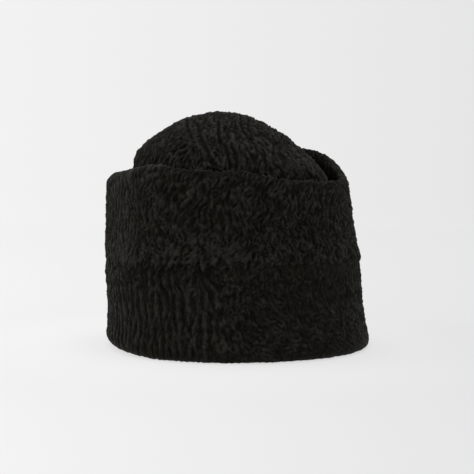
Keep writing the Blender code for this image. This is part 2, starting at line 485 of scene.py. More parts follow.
def set_points(mesh, points):
    """Moves the mesh's vertices, and none of them under the floor."""
    points[:, 2] = np.maximum(points[:, 2], 0.0)
    mesh.vertices.foreach_set("co", points.ravel())
    mesh.update()


def level_push(points, amount):
    """Moves points level, away from the axis."""
    away = points[:, :2] - np.array(AXIS)[:2]
    points[:, :2] += away / np.linalg.norm(away, axis=1)[:, None] * amount[:, None]


def size_of(piece):
    """A piece's size along each axis in millimetres, to print."""
    return [round(float(side) / MM, 1) for side in np.ptp(points_of(piece.data), axis=0)]


print("the lower strip's size before its fur is raised:", size_of(lower_fur))

# %% Soft zones, and what is known of each vertex
GIRTH = 600
Skin = namedtuple("Skin", "points normals turn section past_edge fur")


def between(x, starts, ends):
    """1 between two soft limits. Each limit is a pair: where it begins and where it is complete."""
    return smooth_step(x, *starts) * (1 - smooth_step(x, *ends))


def around(bearing, middle, reach):
    """1 at a bearing in degrees, fading to 0 at a reach to either side of it."""
    return 1 - smooth_step(np.abs((bearing - middle + 180) % 360 - 180), 0, reach)


def bell(x, middle, reach):
    """1 at the middle, with soft tails."""
    return np.exp(-(((x - middle) / reach) ** 2))


def pattern_of(along):
    """Each cell's bearing in degrees, and how many millimetres of the section it is past the bottom edge."""
    rows, columns = int(along[-1] / MM / CELL), int(GIRTH / CELL)
    bearing = np.linspace(-180, 180, columns, endpoint=False)[None]
    rise = (np.arange(rows) * CELL)[:, None]
    return np.broadcast_to(bearing, (rows, columns)), np.broadcast_to(rise, (rows, columns))


def skin_of(piece, along, height):
    """What raising a strip's fur needs from its vertices.

    Turn is the bearing in degrees. Section runs from the bottom edge once round the section, and past_edge
    is the same, but negative on the way back to the bottom edge. Fur is the pattern's height."""
    mesh = piece.data
    shares = map_of(mesh)
    section, half = shares[:, 1] * along[-1], along[-1] / 2
    past_edge = (section + half) % (2 * half) - half
    fur = look_up(height, shares[:, 0], shares[:, 1])
    turn = shares[:, 0] * 360 - 180
    return Skin(points_of(mesh), points_of(mesh, "normal"), turn, section, past_edge, fur)


print("the lower strip's pattern has", pattern_of(lower_along)[0].shape, "cells")

# %% [markdown]
# ## The lower strip
#
# Round the front and towards the wearer's right, the lower strip is combed upright into long parallel ridges.
# Towards the wearer's left the ridges lean over more and more until they run along a slant. They are shorter,
# closer and flatter there. Just under the seam the hair is ruffled.
#
# The zones are soft. Each name that ends in FROM or TO holds two bearings in degrees, or two heights in
# millimetres: where the zone's limit begins and where it is complete.

# %% Comb the lower strip
CURLY_FROM, CURLY_TO = (22, 33), (140, 176)
SLANT_FROM, SLANT_TO = (30, 50), (110, 170)
SLANT_COMBED_FROM = (42, 54)
LOW_DOWN_TO = (12, 48)
RUFFLED_BELOW_TOP = (18, 8)
UPRIGHT_RIDGES = Coat(combed=0.88, spacing=5.4, swirl=9, broken=0.10)
SLANTED_CURLS = Coat(combed=0.20, spacing=3.8, swirl=25, broken=0.20)
LOWER_SEED = 100
LOWER_LEAN = 92
SLANT, MORE_SLANT_LOW_DOWN = 30, 38
SLANT_COMBING = 0.14
RUFFLED_COMBING, RUFFLED_SPACING, RUFFLED_SWIRL = 0.7, 1.3, 14


def lower_pattern():
    """The lower strip's fur, laid out flat."""
    bearing, rise = pattern_of(lower_along)
    curly = between(bearing, CURLY_FROM, CURLY_TO)
    low = 1 - smooth_step(rise, *LOW_DOWN_TO)
    ruffled = smooth_step(rise, *(lower_top / MM - below for below in RUFFLED_BELOW_TOP))
    lean = LOWER_LEAN + between(bearing, SLANT_FROM, SLANT_TO) * (SLANT + MORE_SLANT_LOW_DOWN * low)
    coat = coat_between(UPRIGHT_RIDGES, SLANTED_CURLS, curly)
    slanted = smooth_step(bearing, *SLANT_COMBED_FROM) * curly
    coat = coat._replace(
        combed=(coat.combed + SLANT_COMBING * slanted) * (1 - RUFFLED_COMBING * ruffled),
        spacing=coat.spacing - RUFFLED_SPACING * ruffled * (1 - curly),
        swirl=coat.swirl + RUFFLED_SWIRL * ruffled,
    )
    return fur_height(lean, coat, LOWER_SEED, rounds=3, narrow=14)


lower_height = lower_pattern()
print("low, middle and high fur on the lower strip:", spread_of(lower_height))

# %% [markdown]
# The strip's top edge is sewn under the upper strip, so it is flatter there and reaches up a little, and it
# gets a painted shade under the upper strip's hem, least at the wearer's left. The foot is turned in and
# lifted a little past the front, towards the wearer's right, and flares at the back of the wearer's left.
# Painted shade also darkens the strip towards the wearer's left and back, and on the side at the left of the
# picture, and the colour is darker towards the foot.

# %% Raise the lower strip
CALM_FROM, CALM_TO = (24, 48), (110, 150)
SHADED_SIDE_FROM, SHADED_SIDE_TO = (64, 108), (140, 170)
LESS_SEAM_SHADE_FROM = (20, 50)
LOW_TO, FOOT_TO, UNDER_FOOT_TO = (8 * MM, 40 * MM), (3 * MM, 12 * MM), (0, 6 * MM)
FLARE_AROUND, TUCK_AROUND, LIFT_AROUND, RIGHT_SHADE_AROUND = (105, 45), (-40, 45), (-28, 34), (-50, 35)
CALMER = 0.30
FLATTER_AT_SEAM, FLATTER_AT_FOOT = 0.5, 0.6
SEAM_LIFT, FRONT_LIFT = 2.6 * MM, 2.0 * MM
FOOT_FLARE, FOOT_TUCK = 2.5 * MM, 1.4 * MM
SEAM_SHADE, LESS_SEAM_SHADE = 0.5, 0.28
SHADE_AT_LEFT, SHADE_AT_RIGHT, DARKER_FOOT, CALM_SHADE = 0.40, 0.2, 0.25, 0.25


def raise_lower_strip():
    """Displaces the lower strip's skin and stores its height."""
    points, normals, turn, section, past_foot, fur = skin_of(lower_fur, lower_along, lower_height)
    near_seam = bell(section, lower_top + 3 * MM, 4 * MM)
    under_foot = 1 - smooth_step(past_foot, *UNDER_FOOT_TO)
    low = 1 - smooth_step(points[:, 2], *LOW_TO)
    foot = 1 - smooth_step(points[:, 2], *FOOT_TO)
    calm = 1 - CALMER * between(turn, CALM_FROM, CALM_TO)
    out = RELIEF * calm * (fur - MEAN_HEIGHT)
    out *= (1 - FLATTER_AT_SEAM * near_seam) * (1 - FLATTER_AT_FOOT * under_foot)
    points = points + normals * out[:, None]
    flare, tuck = foot * around(turn, *FLARE_AROUND), low * around(turn, *TUCK_AROUND)
    level_push(points, FOOT_FLARE * flare - FOOT_TUCK * tuck)
    points[:, 2] += SEAM_LIFT * near_seam + FRONT_LIFT * foot * around(turn, *LIFT_AROUND)
    set_points(lower_fur.data, points)
    # Painted shade on the calm side, towards the right of the picture.
    kept = MEAN_HEIGHT + (fur - MEAN_HEIGHT) * calm - CALM_SHADE * (1 - calm)
    # Painted shade towards the wearer's left and back, and on the side at the left of the picture.
    painted_shade = SHADE_AT_LEFT * between(turn, SHADED_SIDE_FROM, SHADED_SIDE_TO) + SHADE_AT_RIGHT * around(turn, *RIGHT_SHADE_AROUND)
    # Painted shade under the upper strip's hem, least at the wearer's left.
    groove = (SEAM_SHADE - LESS_SEAM_SHADE * smooth_step(turn, *LESS_SEAM_SHADE_FROM)) * near_seam
    # The colour is also darker towards the foot.
    keep_height_and_painted_light(lower_fur.data, kept * (1 - groove) * (1 - painted_shade) * (1 - DARKER_FOOT * foot))


raise_lower_strip()
print("the lower strip's size with its fur:", size_of(lower_fur))

# %% [markdown]
# ## The upper strip
#
# The upper strip's curls are short and lean to the right as one looks at them, except past the front, towards
# the wearer's right, where they stand upright as fine ribs. The two ends of the pelt meet there in an upright
# seam. Just above the seam between the strips the hair is ruffled.

# %% Comb the upper strip
SHORT_CURLS_FROM, SHORT_CURLS_TO = (-6, 0), (150, 178)
RUFFLED_TO = (6, 16)
HIGH_UP_FROM, AT_LEFT_FROM = (20, 46), (40, 62)
FINE_RIBS = Coat(combed=0.82, spacing=3.5, swirl=9, broken=0.08)
SHORT_CURLS = Coat(combed=0.30, spacing=3.9, swirl=22, broken=0.22)
UPPER_SEED = 200
UPPER_LEAN = 90
LEAN_LOW_DOWN, LEAN_HIGH_UP, LEAN_AT_LEFT = 8, -28, 18
HEM_COMBING, HEM_SWIRL = 0.5, 12


def upper_pattern():
    """The upper strip's fur, laid out flat."""
    bearing, rise = pattern_of(upper_along)
    curly = between(bearing, SHORT_CURLS_FROM, SHORT_CURLS_TO)
    ruffled = 1 - smooth_step(rise, *RUFFLED_TO)
    lean = LEAN_LOW_DOWN + LEAN_HIGH_UP * smooth_step(rise, *HIGH_UP_FROM)
    lean += LEAN_AT_LEFT * smooth_step(bearing, *AT_LEFT_FROM)
    coat = coat_between(FINE_RIBS, SHORT_CURLS, curly)
    coat = coat._replace(
        combed=coat.combed * (1 - HEM_COMBING * ruffled),
        swirl=coat.swirl + HEM_SWIRL * ruffled,
    )
    return fur_height(UPPER_LEAN + curly * lean, coat, UPPER_SEED)


upper_height = upper_pattern()
print("low, middle and high fur on the upper strip:", spread_of(upper_height))

# %% [markdown]
# Along the bottom edge the locks hang over the seam in clumps. The rim is trimmed by hand, so it isn't a
# smooth curve: a table gives how far it rises over the imported solid's rim, in millimetres, at bearings in
# degrees.
# In front and at the wearer's left the rim's relief is stronger and sunk a little, and painted shade there
# damps the rim's highlight. Painted shade also darkens the side at the left of the picture and the crease of
# the upright seam. Light is painted in just below the rim there, in front, and in the tufts over the seam.

# %% Raise the upper strip
FRONT_SEAM_BEARING = -3.0
FRONT_SEAM_WIDTH = 0.7
MM_TO_A_DEGREE = 1.6
RIM_TRIM = (
    (-55, 0.0), (-38, -1.1), (-24, -0.9), (-16, -1.5), (-10, -1.0), (1, 1.1), (6, 1.2), (11, 0.1),
    (16, -0.2), (22, 1.0), (27, 0.8), (34, 3.3), (41, 3.8), (47, 2.4), (55, 1.7), (64, 1.6), (76, 1.8),
    (97, 2.3), (114, 1.9), (126, 2.0), (155, 2.2), (179, 0.0),
)
HEM_FROM, HEM_TO = (-10 * MM, -5 * MM), (0, 7 * MM)
FRONT_RIM_FROM, FRONT_RIM_TO = (8, 24), (100, 120)
OVER_SEAM_TO = (3 * MM, 18 * MM)
CLUMP_SIZE, CLUMP_SEED = 4, 230
LEAST_CLUMP, LARGEST_CLUMP = -0.9, 2.0
TUCKED_AROUND, SIDE_SHADE_AROUND, FRONT_PAINTED_LIGHT_AROUND = (-42, 40), (-52, 38), (-11, 24)
OVER_SEAM_AROUND, UNDER_RIM_AROUND = (20, 95), (60, 45)
CREASE_DEPTH, FRONT_RIM_DEPTH = 0.5 * MM, 0.3 * MM
FLATTER_RIM, FRONT_RIM_RELIEF = 0.45, 0.75
HEM_OUT, HEM_DROP = 1.1 * MM, 1.2 * MM
CLUMP_OUT, CLUMP_DROP = 0.6 * MM, 1.0 * MM
HEM_TUCK = 1.4
SEAM_CREASE_SHADE, FRONT_RIM_SHADE = 0.5, 0.35
SIDE_SHADE, SIDE_RIM_SHADE = 0.38, 0.2
FRONT_PAINTED_LIGHT, SEAM_TUFT_PAINTED_LIGHT, UNDER_RIM_PAINTED_LIGHT = 0.26, 0.36, 0.3


def raise_upper_strip():
    """Displaces the upper strip's skin and stores its height."""
    points, normals, turn, section, past_hem, fur = skin_of(upper_fur, upper_along, upper_height)
    clumps = soft_noise(upper_height.shape, CLUMP_SIZE, CLUMP_SEED)
    clumps = look_up(clumps, (turn + 180) / 360, 0 * section)
    clumps = np.clip(clumps, LEAST_CLUMP, LARGEST_CLUMP)
    hem = between(past_hem, HEM_FROM, HEM_TO)
    from_seam = (turn - FRONT_SEAM_BEARING) * MM_TO_A_DEGREE
    crease = bell(from_seam, 0, FRONT_SEAM_WIDTH) * smooth_step(section, 2 * MM, 6 * MM)
    rim = bell(section, upper_top + 4 * MM, 6 * MM)
    front_rim = rim * between(turn, FRONT_RIM_FROM, FRONT_RIM_TO)
    out = RELIEF * (fur - MEAN_HEIGHT) * (1 - FLATTER_RIM * rim + FRONT_RIM_RELIEF * front_rim)
    out -= CREASE_DEPTH * crease + FRONT_RIM_DEPTH * front_rim
    points = points + normals * out[:, None]
    untucked = 1 - HEM_TUCK * around(turn, *TUCKED_AROUND)
    level_push(points, hem * (HEM_OUT + CLUMP_OUT * clumps) * untucked)
    trimmed = 1 - smooth_step(np.abs(section - upper_top - 6 * MM), 7 * MM, 32 * MM)
    trim_bearings, trim_rises = zip(*RIM_TRIM)
    points[:, 2] += trimmed * np.interp(turn, trim_bearings, trim_rises) * MM
    points[:, 2] -= hem * (HEM_DROP + CLUMP_DROP * clumps)
    set_points(upper_fur.data, points)
    # Painted shade on the rim in front and at the wearer's left, which damps its highlight, and on the side
    # at the left of the picture.
    painted_shade = FRONT_RIM_SHADE * front_rim + (SIDE_SHADE + SIDE_RIM_SHADE * rim) * around(turn, *SIDE_SHADE_AROUND)
    # Painted light over the seam, just below the rim, and in front.
    over_seam = (1 - smooth_step(section, *OVER_SEAM_TO)) * around(turn, *OVER_SEAM_AROUND)
    under_rim = smooth_step(section, upper_top - 20 * MM, upper_top - 4 * MM)
    under_rim *= around(turn, *UNDER_RIM_AROUND)
    full = FRONT_PAINTED_LIGHT * around(turn, *FRONT_PAINTED_LIGHT_AROUND) + SEAM_TUFT_PAINTED_LIGHT * over_seam
    full += UNDER_RIM_PAINTED_LIGHT * under_rim
    # Painted shade in the upright seam's crease.
    keep_height_and_painted_light(upper_fur.data, fur * (1 - SEAM_CREASE_SHADE * crease) * (1 - painted_shade) * (1 + full))


raise_upper_strip()
print("the upper strip's size with its fur:", size_of(upper_fur))

# %% [markdown]
# ## The crown
#
# The crown is a dome on an upright side that goes down between the wearer's head and the wall. A grid that
# is pulled into a disc covers it without a pole, so the curls are as fine at the top as elsewhere. The
# disc's middle is the top of the dome and its rim is the foot of the side. Rings lie close together over the
# dome and the part of the side that shows, and far apart where the wall hides it.

# %% Trace the crown's faces
CROWN_APEX = Vector((0.0, -23 * MM, FAR))
CROWN_MIDDLE_HEIGHT = 90 * MM
PROFILE_BEARINGS = 144
PROFILE_RAYS = 90
FOOT_TURN = radians(158)

crown_top = trees["crown"].ray_cast(CROWN_APEX, Vector((0, 0, -1)), FAR)[0]
crown_middle = Vector((0.0, crown_top.y, CROWN_MIDDLE_HEIGHT))


def crown_profile(bearing, inside):
    """The crown's outer or inner face at a bearing, from its top to its foot: places and how far along."""
    tree = trees["crown"]
    way = outward(bearing)
    places = []
    for k in range(PROFILE_RAYS + 1):
        turn = FOOT_TURN * k / PROFILE_RAYS
        ray = way * sin(turn) + Vector((0, 0, cos(turn)))
        hit = tree.ray_cast(crown_middle, ray, FAR)[0]
        if hit is None:
            break
        if not inside:
            hit = tree.ray_cast(crown_middle + ray * FAR, -ray, FAR)[0]
        places.append(hit)
    places = np.array(places)
    steps = np.linalg.norm(np.diff(places, axis=0), axis=1)
    return places, np.concatenate([[0.0], np.cumsum(steps)])


def crown_profiles(inside):
    """The profiles at all bearings, from the back round by the wearer's right and the front."""
    bearings = [2 * pi * i / PROFILE_BEARINGS - pi for i in range(PROFILE_BEARINGS)]
    return [crown_profile(bearing, inside) for bearing in bearings]


outer_profiles = crown_profiles(inside=False)
inner_profiles = crown_profiles(inside=True)
shortest = min(along[-1] for places, along in outer_profiles)
print("from the crown's top to its foot:", round(shortest / MM, 1), "mm or more")

# %% Pull a grid into a disc and lay it over the crown
FUR_CELLS = 72
FLESH_CELLS = 24
SHOWN_REACH = 128 * MM
SHOWN_SHARE = 8 / 9
CROWN_MAP_REACH = 140 * MM
MAP_EDGE = 0.98


def on_crown(profiles, bearing, share_of_shown, share_of_hidden):
    """A place on a face of the crown, and how far it is from the top along the face."""
    turn = (bearing + pi) / (2 * pi) * PROFILE_BEARINGS
    found = []
    for i in (int(turn), int(turn) + 1):
        places, along = profiles[i % PROFILE_BEARINGS]
        distance = SHOWN_REACH * share_of_shown + (along[-1] - SHOWN_REACH) * share_of_hidden
        found.append((Vector([np.interp(distance, along, places[:, k]) for k in range(3)]), distance))
    blend = turn - int(turn)
    return found[0][0].lerp(found[1][0], blend), found[0][1] * (1 - blend) + found[1][1] * blend


def lay_face(bm, fur_map, flesh, profiles, cells, inside):
    """Adds the crown's outer or inner face to the bmesh, and gives its rim's edges."""
    made = bmesh.ops.create_grid(bm, x_segments=cells, y_segments=cells, size=1.0)["verts"]
    map_places = {}
    for vert in made:
        x, y = vert.co.x, vert.co.y
        disc = Vector((x * (1 - y * y / 2) ** 0.5, y * (1 - x * x / 2) ** 0.5))
        ring = min(disc.length, 1.0)
        bearing = atan2(disc.x, -disc.y)
        shown = min(ring / SHOWN_SHARE, 1.0)
        hidden = max((ring - SHOWN_SHARE) / (1 - SHOWN_SHARE), 0.0)
        vert.co, distance = on_crown(profiles, bearing, shown, hidden)
        vert[flesh] = 1.0 if inside else 0.0
        reach = min(distance / CROWN_MAP_REACH, MAP_EDGE)
        map_places[vert] = (0.5 + 0.5 * reach * sin(bearing), 0.5 - 0.5 * reach * cos(bearing))
    faces = {face for vert in made for face in vert.link_faces}
    for face in faces:
        for loop in face.loops:
            loop[fur_map].uv = map_places[loop.vert]
    return [edge for edge in {edge for face in faces for edge in face.edges} if edge.is_boundary]


def lay_crown():
    """The crown's skin: a fine fur side and a coarser flesh side, joined round the foot."""
    bm = bmesh.new()
    fur_map = bm.loops.layers.uv.new("fur")
    flesh = bm.verts.layers.float.new("flesh")
    outer_rim = lay_face(bm, fur_map, flesh, outer_profiles, FUR_CELLS, False)
    inner_rim = lay_face(bm, fur_map, flesh, inner_profiles, FLESH_CELLS, True)
    bmesh.ops.bridge_loops(bm, edges=outer_rim + inner_rim)
    bmesh.ops.recalc_face_normals(bm, faces=bm.faces)
    return finish_mesh("crown_fur", bm)


crown_fur = lay_crown()
print(crown_fur.name, "has", len(crown_fur.data.polygons), "faces")

# %% [markdown]
# The crown's curls run down like rays from a place just in front of its top, towards the wearer's right, and
# they swirl where the rays meet. Long creases run through them, where the pelt was pulled over the dome, and
# the curls beside a crease follow it. The eleven longest were set where the photograph shows them, as points
# in millimetres from the top of the dome, to the wearer's left and to the back.

# %% Set the long creases
CROWN_CREASES = (
    ((4, -35), (18, -51), (29, -59), (37, -63), (43, -65)),
    ((14, 4), (34, -22), (44, -28), (49, -28)),
    ((22, 3), (37, -17), (48, -26)),
    ((39, -49), (47, -54), (54, -59)),
    ((36, 18), (50, 2), (57, -1), (66, 3)),
    ((3, -69), (9, -66), (14, -63)),
    ((60, -28), (64, -31), (73, -37)),
    ((19, -29), (28, -42), (35, -50)),
    ((44, -46), (51, -50), (58, -55)),
    ((-10, -29), (3, -46), (13, -55)),
    ((72, 8), (80, -1), (86, -1)),
)
NO_CREASE = 99.0


def from_creases(x, y):
    """How many millimetres each cell is from its nearest long crease, and that crease's lean in degrees."""
    nearest, lean = np.full(x.shape, NO_CREASE), np.zeros(x.shape)
    for crease in CROWN_CREASES:
        for (x0, y0), (x1, y1) in zip(crease, crease[1:]):
            wide, deep = x1 - x0, y1 - y0
            share = np.clip(((x - x0) * wide + (y - y0) * deep) / (wide**2 + deep**2), 0, 1)
            distance = np.hypot(x - x0 - share * wide, y - y0 - share * deep)
            lean = np.where(distance < nearest, np.degrees(np.arctan2(deep, wide)), lean)
            nearest = np.minimum(nearest, distance)
    return nearest, lean


print("long creases on the crown:", len(CROWN_CREASES))

# %% Comb the crown
RAYS_MEET = (-15, -10)
ASIDE_TO = (48, 90)
FOLLOWED_TO = (3, 9)
SWIRL_TO = (4, 24)
LEFT_FROM, LEFT_TO = (45, 75), (140, 170)
CREASE_WOBBLE, WOBBLE_SEED = 0.9, 344
CROWN_COMBED, LESS_AT_LEFT = 0.52, 0.6
CROWN_SPACING, SPACING_VARIES, SPACING_SEED = 4.0, 0.8, 346
CROWN_SWIRL, CROWN_BROKEN, CROWN_SEED = 30, 0.15, 300
FOLD_COMBED, FOLD_SPACING, FOLD_WIDTH, FOLD_DEPTH = 0.85, 24, 0.28, 0.7
FOLD_SIZE, FOLD_STRAYS, FOLD_SEED = 14, 14, 340
SLIT_WIDTH, SLIT_DEPTH, SLIT_FLOOR = 0.95, 0.8, 0.1
LIP_AWAY, LIP_WIDTH, LIP_HEIGHT = 2.4, 1.0, 0.32


def cut_folds(height, lean):
    """Presses in broad folds that come and go, about 24 mm apart."""
    shape = lean.shape
    fold_lean = (lean + FOLD_STRAYS * soft_noise(shape, FOLD_SIZE, FOLD_SEED)) % 180
    fold_spacing = FOLD_SPACING + soft_noise(shape, FOLD_SIZE, FOLD_SEED + 2)
    folds = curls(shape, fold_lean, np.full(shape, FOLD_COMBED), fold_spacing, FOLD_SEED + 1, narrow=16)
    deep = smooth_step(soft_noise(shape, 10, FOLD_SEED + 3), -0.6, 0.4)
    return height * (1 - FOLD_DEPTH * deep * bell(folds, 0, FOLD_WIDTH))


def crown_pattern():
    """The crown's fur, laid out flat, with the top of the dome in the middle."""
    size = int(2 * CROWN_MAP_REACH / MM / CELL)
    side = (np.arange(size) + 0.5 - size / 2) * CELL
    x, y = np.meshgrid(side, side)
    aside = 1 - smooth_step(np.hypot(x, y), *ASIDE_TO)
    lean = np.degrees(np.arctan2(y - RAYS_MEET[1] * aside, x - RAYS_MEET[0] * aside))
    wobble = CREASE_WOBBLE * soft_noise(x.shape, 5, WOBBLE_SEED)
    beside, along_crease = from_creases(x + wobble, y - wobble)
    lean += ((along_crease - lean + 90) % 180 - 90) * (1 - smooth_step(beside, *FOLLOWED_TO))
    from_meeting = np.hypot(x - RAYS_MEET[0], y - RAYS_MEET[1])
    curly = between(np.degrees(np.arctan2(x, -y)), LEFT_FROM, LEFT_TO)
    combed = CROWN_COMBED * smooth_step(from_meeting, *SWIRL_TO) * (1 - LESS_AT_LEFT * curly)
    spacing = CROWN_SPACING + SPACING_VARIES * soft_noise(x.shape, 12, SPACING_SEED)
    coat = Coat(combed, spacing, CROWN_SWIRL, CROWN_BROKEN)
    height = cut_folds(fur_height(lean, coat, CROWN_SEED, rounds=3, narrow=10), lean)
    slit, lip = bell(beside, 0, SLIT_WIDTH), bell(beside, LIP_AWAY, LIP_WIDTH)
    return height * (1 - SLIT_DEPTH * slit) - SLIT_FLOOR * slit + LIP_HEIGHT * lip


crown_height = crown_pattern()
print("low, middle and high fur on the crown:", spread_of(crown_height))

# %% [markdown]
# The crown's fur is longer than the wall's, so its relief is stronger, and its crests get a lighter painted
# highlight.
# Where the wall covers the crown, the relief fades out. In front and at the wearer's left the crown's fur
# bulges against the rim, and no gap shows between them. Just above the rim there, light is painted into the
# crown's colour against the shade between crown and rim.

# %% Raise the crown
CROWN_RELIEF = 1.35 * RELIEF
FUR_SHOWS_TO = (118 * MM, 134 * MM)
BULGE = 6.8 * MM
BULGE_FROM, BULGE_TO = (100 * MM, 116 * MM), (124 * MM, 146 * MM)
BULGE_AROUND, PAINTED_LIGHT_AROUND = (35, 85), (50, 75)
CROWN_CONTRAST, CROWN_SHADE = 1.2, 0.14
PAINTED_LIGHT_AT_RIM, LEAST_PAINTED_LIGHT_AT_RIM = 0.25, 0.1


def raise_crown():
    """Displaces the fur side of the crown's skin and stores its height."""
    mesh = crown_fur.data
    shares = map_of(mesh)
    points, normals = points_of(mesh), points_of(mesh, "normal")
    flesh = np.empty(len(mesh.vertices))
    mesh.attributes["flesh"].data.foreach_get("value", flesh)
    half_cell = 0.5 / len(crown_height)
    fur = look_up(crown_height, shares[:, 0] - half_cell, shares[:, 1] - half_cell)
    reach = np.hypot(shares[:, 0] - 0.5, shares[:, 1] - 0.5) * 2 * CROWN_MAP_REACH
    shown = (1 - smooth_step(reach, *FUR_SHOWS_TO)) * (1 - np.clip(flesh * 4, 0, 1))
    away = points[:, :2] - np.array(AXIS)[:2]
    turn = np.degrees(np.arctan2(away[:, 0], -away[:, 1]))
    near_rim = between(points[:, 2], BULGE_FROM, BULGE_TO)
    out = CROWN_RELIEF * (fur - MEAN_HEIGHT) * shown
    points = points + normals * out[:, None]
    level_push(points, BULGE * near_rim * around(turn, *BULGE_AROUND) * shown)
    set_points(mesh, points)
    # Painted light just above the rim, against the shade between crown and rim.
    painted_light_zone = near_rim * around(turn, *PAINTED_LIGHT_AROUND)
    kept = (CROWN_CONTRAST * fur - CROWN_SHADE) * (1 + PAINTED_LIGHT_AT_RIM * painted_light_zone) + LEAST_PAINTED_LIGHT_AT_RIM * painted_light_zone
    keep_height_and_painted_light(mesh, kept * shown)


raise_crown()
print("the crown's size with its fur:", size_of(crown_fur))

# %% [markdown]
# ## The finish
#
# Black karakul is a warm near-black. A crest shows the sides of its hairs and catches a broad soft gleam,
# while a crease swallows the light. So the colour carries painted shade in the creases and a painted
# highlight on the crests, both following the fur's height, and the gloss follows that height too. Locks drawn
# out upwards and blotches vary it, and hairs too fine for the mesh are left to a bump. The three furs share
# one group, because they come from the same pelt.

# %% Helpers for nodes
def new_node(tree, kind, place, inputs=None, **settings):
    """Adds a node with its settings, and then its inputs by name or number: an output to link, or a value."""
    node = tree.nodes.new(kind)
    node.location = place
    for name, value in settings.items():
        setattr(node, name, value)
    for name, value in (inputs or {}).items():
        if isinstance(value, bpy.types.NodeSocket):
            tree.links.new(value, node.inputs[name])
        else:
            node.inputs[name].default_value = value
    return node


def noise(tree, place, where, scale, detail, roughness, distortion=0.0):
    """A noise texture's outputs. Its scale is in waves to the metre."""
    inputs = {"Vector": where, "Scale": scale, "Detail": detail, "Roughness": roughness}
    inputs["Distortion"] = distortion
    return new_node(tree, "ShaderNodeTexNoise", place, inputs).outputs


def mapped(tree, place, value, source, target=(0.0, 1.0), **settings):
    """A value that runs over one range, brought to another range."""
    inputs = dict(zip(("From Min", "From Max", "To Min", "To Max"), (*source, *target)))
    inputs["Value"] = value
    return new_node(tree, "ShaderNodeMapRange", place, inputs, **settings).outputs["Result"]


def number_from(tree, place, operation, *values):
    """A sum or product of numbers."""
    inputs = dict(enumerate(values))
    return new_node(tree, "ShaderNodeMath", place, inputs, operation=operation).outputs[0]


def vector_from(tree, place, operation, *values):
    """A sum or product of vectors."""
    inputs = dict(enumerate(values))
    return new_node(tree, "ShaderNodeVectorMath", place, inputs, operation=operation).outputs[0]


helpers = (new_node, noise, mapped, number_from, vector_from)
print("helpers for nodes:", ", ".join(helper.__name__ for helper in helpers))

# %% A group for karakul hair
GROUP_INPUTS = {"Curl": "Float", "Place": "Vector", "Crease": "Color", "Crest": "Color"}
GROUP_OUTPUTS = {"Color": "Color", "Roughness": "Float", "Gloss": "Float", "Height": "Float"}
BEND_SCALE, LOCK_SCALE, BLOTCH_SCALE, HAIR_SCALE = 110.0, 760.0, 190.0, 1500.0
LOCK_BEND = (0.012, 0.012, 0.0)
LOCK_STRETCH = (1.0, 1.0, 0.28)
LOCK_BUMP = 2.0


def karakul_group():
    """Turns the fur's height and a place into a colour, a roughness, a gloss and a height of single hairs."""
    group = bpy.data.node_groups.new("Karakul hair", "ShaderNodeTree")
    for name, kind in GROUP_INPUTS.items():
        group.interface.new_socket(name, in_out="INPUT", socket_type="NodeSocket" + kind)
    for name, kind in GROUP_OUTPUTS.items():
        group.interface.new_socket(name, in_out="OUTPUT", socket_type="NodeSocket" + kind)
    given = new_node(group, "NodeGroupInput", (-1700, 0)).outputs
    place = given["Place"]

    bend = noise(group, (-1500, 500), place, BEND_SCALE, 1.0, 0.5)["Color"]
    bend_way = vector_from(group, (-1300, 500), "SUBTRACT", bend, (0.5, 0.5, 0.5))
    bent = vector_from(group, (-1100, 500), "MULTIPLY_ADD", bend_way, LOCK_BEND, place)
    drawn_out = vector_from(group, (-900, 500), "MULTIPLY", bent, LOCK_STRETCH)
    lock = noise(group, (-650, 500), drawn_out, LOCK_SCALE, 2.0, 0.6, 0.3)["Fac"]
    hair = noise(group, (-650, -250), place, HAIR_SCALE, 3.0, 0.6)["Fac"]
    blotch = noise(group, (-650, 250), place, BLOTCH_SCALE, 1.0, 0.5)["Fac"]

    lock_tone = mapped(group, (-400, 500), lock, (0.35, 0.65), (0.35, 1.5))
    blotch_tone = mapped(group, (-400, 300), blotch, (0.3, 0.7), (0.7, 1.3))
    hair_tone = mapped(group, (-400, -500), hair, (0.3, 0.7), (0.8, 1.2))
    tone = number_from(group, (-150, 350), "MULTIPLY", blotch_tone, hair_tone)
    tone = number_from(group, (0, 450), "MULTIPLY", tone, lock_tone)
    # Painted shade and highlight: the colour runs from the crease's painted shade to the crest's painted
    # highlight as the fur rises.
    rise = mapped(group, (-400, 0), given["Curl"], (0.14, 0.92))
    inputs = {"Factor": rise, "A": given["Crease"], "B": given["Crest"]}
    colour = new_node(group, "ShaderNodeMix", (-150, 100), inputs, data_type="RGBA").outputs["Result"]
    inputs = {0: colour, "Scale": tone}
    toned = new_node(group, "ShaderNodeVectorMath", (150, 100), inputs, operation="SCALE")
    rough = mapped(group, (150, -250), hair, (0.3, 0.7), (0.48, 0.66))
    soft = {"interpolation_type": "SMOOTHSTEP"}
    gloss = mapped(group, (-400, 750), given["Curl"], (0.45, 1.1), (0.0, 0.2), **soft)
    relief = number_from(group, (150, -450), "MULTIPLY_ADD", lock, LOCK_BUMP, hair)
    results = {"Color": toned.outputs[0], "Roughness": rough, "Gloss": gloss, "Height": relief}
    new_node(group, "NodeGroupOutput", (600, 0), results)
    return group


hair_group = karakul_group()
print("group:", hair_group.name, "with", len(hair_group.nodes), "nodes")

# %% A material for each fur
# The fur's warm black, with painted shade in the crease colour and painted highlights in the crest colours.
CREASE_SHADE_COLOUR = (0.0036, 0.0029, 0.0016, 1.0)
CREST_HIGHLIGHT_COLOUR = (0.0120, 0.0107, 0.0079, 1.0)
CROWN_CREST_HIGHLIGHT_COLOUR = (0.0131, 0.0118, 0.0088, 1.0)
FLESH_COLOUR = (0.016, 0.012, 0.009, 1.0)
HAIR_BUMP = 0.25 * MM
SHINE = {"Specular IOR Level": 0.04, "Coat Roughness": 0.4, "Coat IOR": 1.4}


